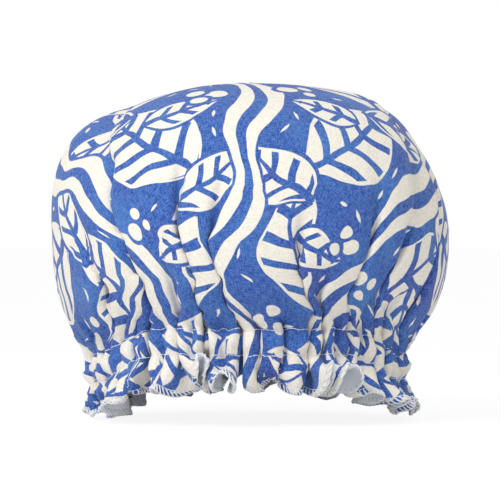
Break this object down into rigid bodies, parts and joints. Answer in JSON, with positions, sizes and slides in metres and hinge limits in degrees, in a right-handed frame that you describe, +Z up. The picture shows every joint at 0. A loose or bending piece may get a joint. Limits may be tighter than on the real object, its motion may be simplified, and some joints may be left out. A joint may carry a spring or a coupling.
{
  "type": "shower cap",
  "caption": "Domed cloth shower cap with a waterproof lining, gathered by elastic in a stitched channel above a fluted, overlocked frill.",
  "frame": {"origin": "bottom centre of the cap's box, on the surface that its hem rests on", "axes": "+Z up through the crown, the front of the cap faces -Y, +X to its right as seen from the front"},
  "size_m": [0.2292, 0.2408, 0.1958],
  "materials": {
    "printed_cloth": "matt plain-weave cotton, blue print on ivory",
    "lining_film": "soft bluish-white waterproof film, slight sheen",
    "elastic": "braided white elastic",
    "thread": "white polyester sewing thread"
  },
  "bodies": {
    "root": {"outer_fabric": "printed_cloth", "waterproof_lining": "lining_film", "elastic_band": "elastic", "elastic_join_stitching": "thread", "upper_seam_needle_thread": "thread", "upper_seam_bobbin_thread": "thread", "lower_seam_needle_thread": "thread", "lower_seam_bobbin_thread": "thread", "overlock_needle_thread": "thread", "overlock_looper_wrap": "thread"}
  },
  "joints": []
}
